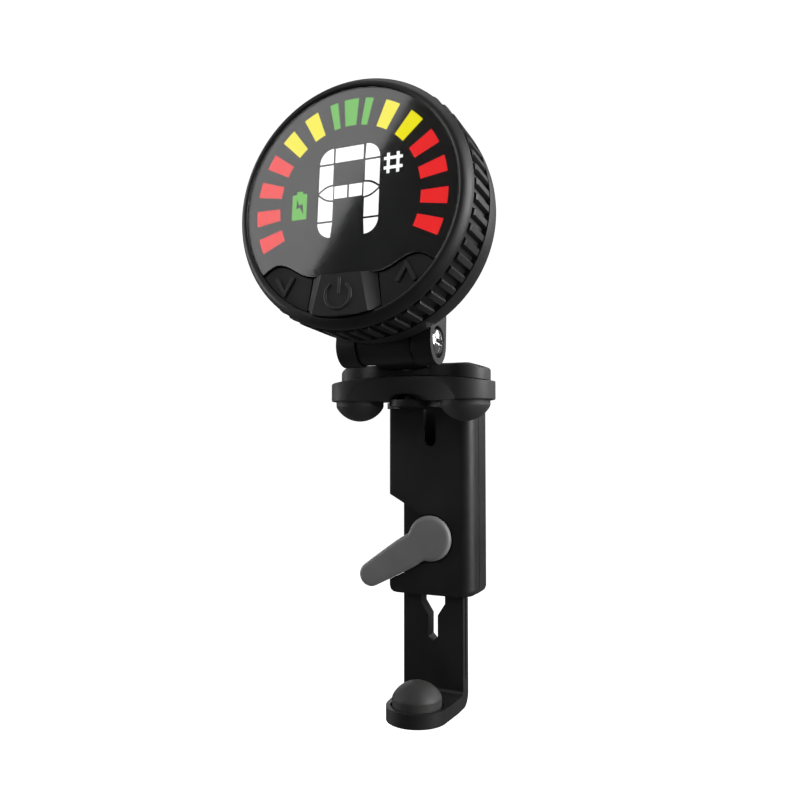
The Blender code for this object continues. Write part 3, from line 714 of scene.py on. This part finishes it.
def flank(half_top, half_foot):
    """Across the power key from left to right: (x, depth), with the table in the middle."""
    steps = 10
    right = []
    for i in range(steps + 1):
        share = i / steps
        fall = -TABLE_DEPTH * (0.62 * share + 0.38 * math.sin(math.pi / 2 * share))
        right.append((half_top + (half_foot - half_top) * share, TABLE_DEPTH + fall))
    middle = [(half_top * (-1 + 2 * i / 6), TABLE_DEPTH) for i in range(1, 6)]
    left = [(-x, y) for x, y in reversed(right)]
    return left + middle + right


# ---- yoke and hinge -------------------------------------------------------------------------------

def parting_arch(x):
    """How far the line between the swivel plate and the carrier arches up, x from the middle."""
    return ARCH_RISE * math.cos(math.pi / 2 * min(1.0, abs(x) / ARCH_REACH))


def yoke():
    """The rear cup, and two ears bored for the hinge screw and its nut."""
    profile = [
        (4.3, 9.5), (19.6, 9.5), (19.6, 8.1), (20.78, 8.1), (20.87, 8.13), (20.9, 8.22), (20.9, 8.8),
        (20.82, 10.4), (20.56, 12.2), (20.28, 13.3), (19.85, 13.9), (19.1, 14.2), (18.0, 14.36), (16.0, 14.4),
        (11.6, 14.4), (11.1, 14.5), (10.7, 14.9), (4.3, 14.9),
    ]
    rim = turned(profile, 160, "XZ", ring=True)
    piece("rear_rim", rim, "black", "tilt_mount", ["rear_yoke"], HEAD)
    side = arc((EAR_AT[0], EAR_AT[1] - 0.15), 3.75, 180, 360, 40)
    back = softened([(21.44, -14.5), (21.3, -12.0), (18.2, -7.0), (15.6, -2.6), (13.6, -1.0)], 2)
    front = softened([(12.0, -13.3), (13.0, -13.6), (14.2, -14.8), (14.26, -17.0)], 2)
    outline = side + back + front
    arms = [prism(outline, low, high, "YZ") for low, high in EAR_SIDES]
    ears = piece("yoke_arms", merged(arms), "black", "tilt_mount", (), HEAD)
    beyond = 12.0
    head_seat, shaft, nut_seat = circle(2.75, 64, EAR_AT), circle(1.4, 32, EAR_AT), circle(2.6, 6, EAR_AT)
    carve(ears, prism(head_seat, 7.75, beyond, "YZ"))
    carve(ears, prism(shaft, -beyond, beyond, "YZ"))
    carve(ears, prism(nut_seat, -beyond, -7.2, "YZ"))
    round_edges(ears, 0.28, 4, 32)


def hinge_screw():
    """A pan head with a cross recess, and its shaft."""
    profile = [
        (1.1, -8.6), (1.1, 8.05), (2.4, 8.05), (2.48, 8.2), (2.48, 8.5), (2.3, 8.85), (1.9, 9.1), (1.2, 9.28),
        (0.4, 9.34),
    ]
    mesh = turned(profile, 48, "YZ", EAR_AT)
    screw = piece("hinge_screw_head", mesh, "chrome", "tilt_mount", ["hinge_screw"], HEAD)

    def recess(wide, tall):
        return box(EAR_AT[0] - wide, EAR_AT[0] + wide, EAR_AT[1] - tall, EAR_AT[1] + tall)

    for wide, tall in ((1.85, 0.36), (0.36, 1.85)):
        carve(screw, loft([(recess(wide * 0.6, tall * 0.7), 8.2), (recess(wide, tall), 9.5)], "YZ"))
    round_edges(screw, 0.05, 2, 40)


def swivel():
    """The swivel plate, the neck that climbs from it and the hinge barrel."""
    levels = (  # inset, share of the height, lift
        (2.2, 0, 0), (0.1, 0, 0), (0.0, 0, 0.1),
        (0.0, 1, -0.45), (0.12, 1, -0.2), (0.35, 1, -0.05), (0.7, 1, 0), (2.2, 1, 0),
    )
    rings = []
    for inset, share, lift in levels:
        ring = []
        for x, y in peanut(PLATE_LOBE, PLATE_WAIST, inset):
            low = PLATE_UNDERSIDE + parting_arch(x)
            high = 10.45 - 0.8 * ease((abs(x) - 11.5) / 3.5)
            back = 1.4 * ease((abs(x) - 4.5) / 5)
            ring.append((x, y + back, low + (high - low) * share + lift))
        rings.append(ring)
    # The plate's lighter matte tone is partly its own plastic and partly painted light.
    plate = piece("swivel_body", skin(rings), "matte", "swivel", ["swivel_plate"], smooth=50)
    y, z = HINGE.y, HINGE.z
    neck = [(y, z), (y, z - 3.5)]
    neck += softened([(y + 0.8, z - 3.5), (-6.0, 10.25), (-4.2, 10.0), (-2.4, 9.3)], 2)
    neck += [(-2.3, 8.6), (3.0, 8.6)]
    neck += softened([(3.0, 10.4), (0.5, 10.5), (-1.2, 11.6), (-5.5, 15.6), (-9.1, 16.8)], 2)
    barrel = softened([(3.3, -5.05), (3.55, -5.0), (3.55, -4.7)], 1)
    barrel += softened([(3.55, 4.7), (3.55, 5.0), (3.3, 5.05)], 1)
    mesh = turned(barrel, 96, "YZ", (y, z))
    body = piece("hinge_barrel", mesh, "black", "swivel", smooth=40)
    carve(body, prism(neck, -NECK_HALF, NECK_HALF, "YZ"), "UNION")
    shank, counterbore = 1.5, 8.9
    for item, bore in ((body, 2.8), (plate, 2.15)):
        carve(item, turned([(shank, 7.0), (shank, counterbore), (bore, counterbore), (bore, 20.0)], 40))
    carve(body, prism(circle(HINGE_BORE, 48, (y, z)), -6.0, 6.0, "YZ"))
    round_edges(plate, 0.04, 1, 60, 45)


# ---- clamp ----------------------------------------------------------------------------------------

def carrier():
    """The plate that holds the two upper pads, scooped out at the front between them."""
    low = 3.75
    levels = (  # inset, share of the height, lift
        (3.2, 0, 0), (0.3, 0, 0), (0.1, 0, 0.07), (0.0, 0, 0.25),
        (0.0, 1, -0.12), (0.05, 1, -0.03), (0.2, 1, 0), (3.2, 1, 0),
    )
    rings = []
    for inset, share, lift in levels:
        ring = []
        for x, y in peanut(CARRIER_LOBE, CARRIER_WAIST, inset):
            high = CARRIER_TOP + parting_arch(x)
            ring.append((x, y, low + (high - low) * share + lift))
        rings.append(ring)
    # The carrier's lighter matte tone is partly its own plastic and partly painted light.
    body = piece("carrier", skin(rings), "matte", "clamp", ["pad_carrier"], smooth=50)
    front_scoop = ellipsoid((0, -12.0, 0), (16.0, 9.5, 14.0))
    throat_scoop = ellipsoid((0, -4.4, 3.2), (5.8, 2.6, 2.1))
    carve(body, front_scoop)
    carve(body, throat_scoop)
    carve(body, prism(circle(2.9, 64), 3.0, 9.0))
    for side in (-1, 1):
        carve(body, prism(circle(4.84, 96, (side * PAD_SPACING, 0)), 3.0, 5.0))
    round_edges(body, 0.12, 2, 40, 40)


def ellipsoid(centre, radii):
    """A ball stretched along the axes."""
    mesh = bmesh.new()
    bmesh.ops.create_uvsphere(mesh, u_segments=128, v_segments=64, radius=1.0)
    for vert in mesh.verts:
        spot = [middle + reach * share for middle, reach, share in zip(centre, radii, vert.co)]
        vert.co = Vector(spot) * MM
    return mesh


def pad(name, node, body, centre, radius, root, shoulder, crown):
    """A short straight wall under a spherical cap, seamed where they meet."""
    rise = abs(crown - shoulder)
    up = math.copysign(1.0, crown - shoulder)
    ball = (radius**2 + rise**2) / (2 * rise)
    reach = math.asin(radius / ball)
    curve = []
    for i in range(25):
        angle = reach * (1 - i / 24.5)
        curve.append((ball * math.sin(angle), crown - up * ball * (1 - math.cos(angle))))
    wall = [(radius, root), (radius, shoulder - 0.1 * up), (radius - 0.03, shoulder - 0.04 * up)]
    mesh = turned(wall + curve[1:], 96, centre=centre)
    piece(name, mesh, "rubber", body, [node], smooth=60)


def post_front_outline(half, corner):
    """Front half of the post, open at the back: a crisp left corner and a round right one."""
    crisp, floor = 0.5, 10.6
    left = arc((-half + crisp, POST_FRONT + crisp), crisp, 180, 270, 14)
    right = arc((half - corner, POST_FRONT + corner), corner, 270, 360, 14)
    outer = [(-half, POST_SPLIT)] + left + right + [(half, POST_SPLIT)]
    inner = [(POST_INNER, POST_SPLIT), (POST_INNER, floor), (-POST_INNER, floor), (-POST_INNER, POST_SPLIT)]
    return outer + inner


def notch_outline():
    """The wedge beside the lever's hub in which its arm swings."""
    upper, lower = (-1.6, -18.3), (-1.0, -27.7)
    z = LEVER_AT.z
    start = math.degrees(math.atan2(upper[1] - z, upper[0]))
    end = math.degrees(math.atan2(lower[1] - z, lower[0])) + 360
    hub = arc((0, z), HUB_WELL, start, end, 36)
    far_upper = (NOTCH_REACH, hub[0][1] + NOTCH_UPPER_SLOPE * (hub[0][0] - NOTCH_REACH))
    far_lower = (NOTCH_REACH, hub[-1][1] - NOTCH_LOWER_SLOPE * (hub[-1][0] - NOTCH_REACH))
    return hub + [far_lower, far_upper]


def post_front():
    """Front half of the post with its nose and flange, the lever's well and notch, and the shoe's slot."""
    rings = []
    for inset, lift in ((1.4, 0.0), (0.75, 0.12), (0.25, 0.5), (0.0, 1.3)):
        rings.append((post_front_outline(POST_HALF - inset, 2.7 - inset * 0.5), POST_LOW + lift))
    rings.append((post_front_outline(POST_HALF, 2.7), POST_TOP))
    body = piece("post_front", loft(rings), "black", "clamp", ["channel_bracket"], smooth=40)
    nose = arc((0, 0), NOSE_RADIUS, 180, 360, 48)
    left = [(-9.5, 10.6), (-9.5, 9.9), (-9.0, 9.2), (-6.6, 8.6), (-4.9, 6.6), (-NOSE_RADIUS, 3.0)]
    left = softened(left, 3)
    flange = [(-x, y) for x, y in reversed(left)] + left
    carve(body, prism(nose + flange, 2.7, 3.9), "UNION")
    carve(body, turned([(1.75, 3.5), (1.75, 7.0)], 48), "UNION")
    carve(body, prism(circle(1.5, 32), 3.2, 8.0))
    slot = arc((0, -3.55), 1.25, 180, 360, 24) + [(1.25, 2.7), (-1.25, 2.7)]
    carve(body, prism(slot, 8.0, 10.8, "XZ"))
    carve(body, prism(circle(HUB_WELL, 96, (0, LEVER_AT.z)), 8.0, 10.0, "XZ"))
    carve(body, prism(notch_outline(), 8.0, 13.3, "XZ"))
    round_edges(body, 0.14)


def post_back():
    """Rear half of the post, with the notch's far side, the screws' holes and the guide pin's."""
    corner, split, floor, back = 0.8, 13.4, 14.2, 18.3
    levels = (  # inset, height
        (1.2, POST_LOW), (0.6, POST_LOW + 0.15), (0.2, POST_LOW + 0.5), (0.0, POST_LOW + 1.2),
        (0.0, POST_TOP),
    )
    rings = []
    for inset, height in levels:
        half = POST_HALF - inset
        right = arc((half - corner, back - inset * 0.6 - corner), corner, 0, 90, 10)
        left = arc((-half + corner, back - inset * 0.6 - corner), corner, 90, 180, 10)
        outline = [(half, split)] + right + left + [(-half, split)]
        outline += [(-POST_INNER, split), (-POST_INNER, floor), (POST_INNER, floor), (POST_INNER, split)]
        rings.append((outline, height))
    body = piece("post_back", loft(rings), "black", "clamp", ["channel_back"], smooth=40)
    inner = -6.25
    wedge = [point for point in notch_outline() if point[0] < inner]
    upper, lower = wedge[-1], wedge[0]
    wedge.append((inner, upper[1] - NOTCH_UPPER_SLOPE * (inner - NOTCH_REACH)))
    wedge.append((inner, lower[1] + NOTCH_LOWER_SLOPE * (inner - NOTCH_REACH)))
    carve(body, prism(wedge, 13.0, 19.0, "XZ"))
    shank, head, seat = 0.75, 1.0, 17.1
    for place in ((-7.6, -5.0), (7.6, -5.0), (7.6, -29.0)):
        carve(body, turned([(shank, 13.0), (shank, seat), (head, seat), (head, 19.0)], 24, "XZ", place))
    pin_hole = circle(1.5, 32, (0, -16.4))
    carve(body, prism(pin_hole, 13.0, 16.2, "XZ"))
    round_edges(body, 0.14)


# ---- jaw and lever --------------------------------------------------------------------------------

def jaw():
    """The sliding blade with its long slot and side grooves, and the round foot for the jaw's pad."""
    heel = arc((JAW_BACK - 2.5, -52.8), 2.5, 0, -90, 16)
    root = arc((JAW_FRONT - 0.9, -51.8), 0.9, -90, 0, 8)
    side = [(JAW_FRONT, SLIDER_TOP), (JAW_BACK, SLIDER_TOP)] + heel
    side += [(8.5, FOOT_LOW), (8.5, FOOT_TOP)] + root
    mesh = prism(side, -JAW_HALF, JAW_HALF, "YZ")
    body = piece("jaw_slider", mesh, "black", "jaw", ["slider_jaw"], smooth=40)
    toe = arc((0, JAW_PAD_Y), 5.8, -175.5, -4.5, 64)
    plan = toe + [(JAW_HALF, 8.2), (JAW_HALF, 10.5), (-JAW_HALF, 10.5), (-JAW_HALF, 8.2)]
    carve(body, prism(plan, FOOT_LOW, FOOT_TOP), "UNION")
    left = [(-2.5, -13.9), (-2.5, -35.6), (-0.975, -37.95), (-0.975, -42.1)]
    slot = left + [(0.0, -43.1)] + [(-x, z) for x, z in reversed(left)]
    carve(body, prism(slot, 9.0, 15.0, "XZ"))
    groove = 0.28
    for x in (-JAW_HALF, JAW_HALF):
        carve(body, prism(box(x - groove, x + groove, 12.15, 12.65), -50.0, -10.0))
    pad_seat = circle(4.96, 96, (0, JAW_PAD_Y))
    carve(body, prism(pad_seat, -53.5, -50.0))
    round_edges(body, 0.3, 4)


def lever_outline(inset):
    """The lever's round hub, its slightly waisted arm and its round tip, about its own axis."""
    hub, neck = 4.46, 47
    turn = arc((0, 0), hub - inset, LEVER_HEADING + neck, LEVER_HEADING + 360 - neck, 64)
    sides = []
    for side in (1, -1):
        spots = []
        for distance, width in ((3.55, 3.1), (4.3, 3.06), (5.4, 3.16), (9.0, 2.94), (13.0, 2.6)):
            spots.append(on_arm(distance, side * (width - inset)))
        sides.append(softened(spots, 2))
    return turn + sides[1] + lever_tip(inset) + sides[0][::-1]


def on_arm(distance, offset):
    """A point at a distance along the lever's arm and an offset across it."""
    angle = math.radians(LEVER_HEADING)
    along = Vector((math.cos(angle), math.sin(angle)))
    across = Vector((-along.y, along.x))
    return tuple(along * distance + across * offset)


def lever_tip(inset):
    """The round end of the arm."""
    half_turn = 84
    end = on_arm(LEVER_REACH, 0.0)
    return arc(end, LEVER_TIP - inset, LEVER_HEADING - half_turn, LEVER_HEADING + half_turn, 24)


def lever():
    """The lock lever: crowned at the front, with a spine behind its arm and a groove behind its hub."""
    z = LEVER_AT.z
    crown = (  # inset, depth
        (0.35, 9.7), (0.1, 9.66), (0.0, 9.45), (0.0, 9.15), (0.1, 8.85),
        (0.32, 8.64), (0.62, 8.53), (1.0, 8.5), (1.9, 8.48),
    )
    sections = [([(u, v + z) for u, v in lever_outline(inset)], depth) for inset, depth in crown]
    body = piece("lever_body", loft(sections, "XZ"), "grey", "lever", ["lock_lever"], smooth=50)
    arm = [on_arm(5.5, -2.7)] + lever_tip(0.25) + [on_arm(5.5, 2.7)]
    carve(body, prism([(u, v + z) for u, v in arm], 9.3, 10.35, "XZ"), "UNION")
    groove = [(1.65, 9.1), (4.0, 9.1), (4.0, 10.0), (1.65, 10.0)]
    carve(body, turned(groove, 64, "XZ", (0, z), ring=True))
    rivet_hole = circle(1.1, 32, (0, z))
    carve(body, prism(rivet_hole, 8.9, 10.0, "XZ"))
    smooth_faces(body, 50)


# ---- carried-over CAD nodes -----------------------------------------------------------------------

CARRIED = {
    "light_guide": "milky", "circuit_board": "board", "battery": "foil", "piezo_sensor": "brass",
    "usb_port": "steel", "back_plate": "black", "switch_left": "steel", "switch_power": "steel",
    "switch_right": "steel", "drum_screw_1": "steel", "drum_screw_2": "steel", "drum_screw_3": "steel",
    "turn_washer": "steel", "turn_screw": "black", "hinge_nut": "steel", "hinge_bush": "nylon",
    "post_screw_1": "steel", "post_screw_2": "steel", "post_screw_3": "steel", "guide_pin": "steel",
    "swivel_screw": "steel", "swivel_washer": "steel", "lever_rivet": "steel", "brake_shoe": "nylon",
}


def dress_cad_nodes():
    """Gives each CAD node that still shows its own finish."""
    for node, material in CARRIED.items():
        for place in frame["nodes"][node].material_slots:
            place.material = MATERIALS[material]


# ---- camera, floor and light ----------------------------------------------------------------------

def camera():
    """The main view, from the front and a little to the right."""
    data = bpy.data.cameras.new("camera")
    data.lens = LENS_MM
    data.sensor_width = SENSOR_MM
    data.clip_start, data.clip_end = CLIP_M
    item = linked("camera", data)
    item.location = CAMERA_AT
    item.rotation_euler = (math.radians(90 + CAMERA_PITCH), 0, math.radians(CAMERA_AZIMUTH))
    bpy.context.scene.camera = item


def softbox(name, at, width, height, power):
    """A rectangular area light aimed at the middle of the part, in metres and watts."""
    data = bpy.data.lights.new(name, "AREA")
    data.shape = "RECTANGLE"
    data.size, data.size_y = width, height
    data.energy = power
    item = linked(name, data)
    item.location = at
    item.rotation_euler = (-Vector(at)).to_track_quat("-Z", "Y").to_euler()
    return item


def world():
    """A dim studio, a little brighter behind the part."""
    made = bpy.data.worlds.new("studio")
    bpy.context.scene.world = made
    made.use_nodes = True
    tree = made.node_tree
    back = tree.nodes["Background"]
    where = tree.nodes.new("ShaderNodeTexCoord")
    split = tree.nodes.new("ShaderNodeSeparateXYZ")
    span = tree.nodes.new("ShaderNodeMapRange")
    span.inputs["From Min"].default_value = -1.0
    span.inputs["From Max"].default_value = 1.0
    tree.links.new(where.outputs["Generated"], split.inputs["Vector"])
    tree.links.new(split.outputs["Y"], span.inputs["Value"])
    near, far = (0.05, 0.05, 0.05), (0.12, 0.12, 0.12)
    colour = colour_ramp(tree, span.outputs["Result"], ((0.35, near), (0.75, far)))
    tree.links.new(colour, back.inputs["Color"])
    back.inputs["Strength"].default_value = 1.0


def pale(name, strength):
    """Plain white studio paper."""
    made, tree, body = shader(name, roughness=0.9, specular=0.1)
    vary_colour(tree, body, noise(tree, 2.0, 3.0), (0.80, 0.80, 0.80), (0.82, 0.82, 0.82))
    self_lit(body, (1, 1, 1), strength)
    return made


def studio():
    """A pale floor and a white surround that only the camera sees, so it throws no light."""
    mesh = bmesh.new()
    bmesh.ops.create_circle(mesh, cap_ends=True, segments=96, radius=FLOOR_RADIUS)
    ground = place_object("floor", mesh, Matrix.Translation((0, 0, FLOOR_Z)))
    ground.data.materials.append(pale("floor_white", FLOOR_GLOW))
    around = bmesh.new()
    bmesh.ops.create_uvsphere(around, u_segments=48, v_segments=24, radius=SURROUND_RADIUS)
    shell = place_object("surround", around, WORLD)
    shell.data.materials.append(pale("surround_white", SURROUND_GLOW))
    for item in (ground, shell):
        item.visible_diffuse = False
        item.visible_glossy = False
        item.visible_transmission = False
        item.visible_shadow = False


def lights():
    """The softboxes; the low one lights from below without a reflection of its own."""
    for name, setting in SOFTBOXES.items():
        item = softbox(name, *setting)
        item.visible_glossy = name != "low_fill"


def window_card():
    """A card square to the display, whose near edge draws the diagonal sheen across the window."""
    face = Vector(TURN["pos_m"])
    into = Vector(TURN["axis"])
    up = Vector((0, -into.z, into.y))
    right = Vector((1, 0, 0))
    start, end = (Vector(spot) for spot in CARD_EDGE)
    edge = (end - start).normalized()
    away = Vector((-edge.y, edge.x))
    middle = (start + end) / 2 + away * CARD_WIDTH / 2
    place = face + right * middle.x + up * middle.y - into * CARD_DISTANCE
    card = softbox("window_card", place, CARD_WIDTH, CARD_HEIGHT, CARD_POWER)
    axis_x = (right * away.x + up * away.y).normalized()
    axis_y = -(right * edge.x + up * edge.y).normalized()
    axis_z = axis_x.cross(axis_y)
    card.matrix_world = Matrix.Translation(place) @ Matrix((axis_x, axis_y, axis_z)).transposed().to_4x4()


def main():
    bezel()
    grip()
    window()
    segments()
    note()
    battery_icon()
    keys()
    yoke()
    hinge_screw()
    swivel()
    carrier()
    for side, name in ((-1, "left"), (1, "right")):
        pad(f"pad_{name}", f"upper_pad_{name}", "clamp", (side * PAD_SPACING, 0),
            radius=4.54, root=4.7, shoulder=2.76, crown=0.0)
    post_front()
    post_back()
    jaw()
    pad("pad_jaw", "jaw_pad", "jaw", (0, JAW_PAD_Y), radius=4.66, root=-53.2, shoulder=-51.2, crown=-48.325)
    lever()
    dress_cad_nodes()
    for item, body in ITEMS:
        even_shading(item)
        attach(item, body)
    camera()
    bpy.context.scene.view_settings.view_transform = "Standard"
    world()
    studio()
    lights()
    window_card()


main()
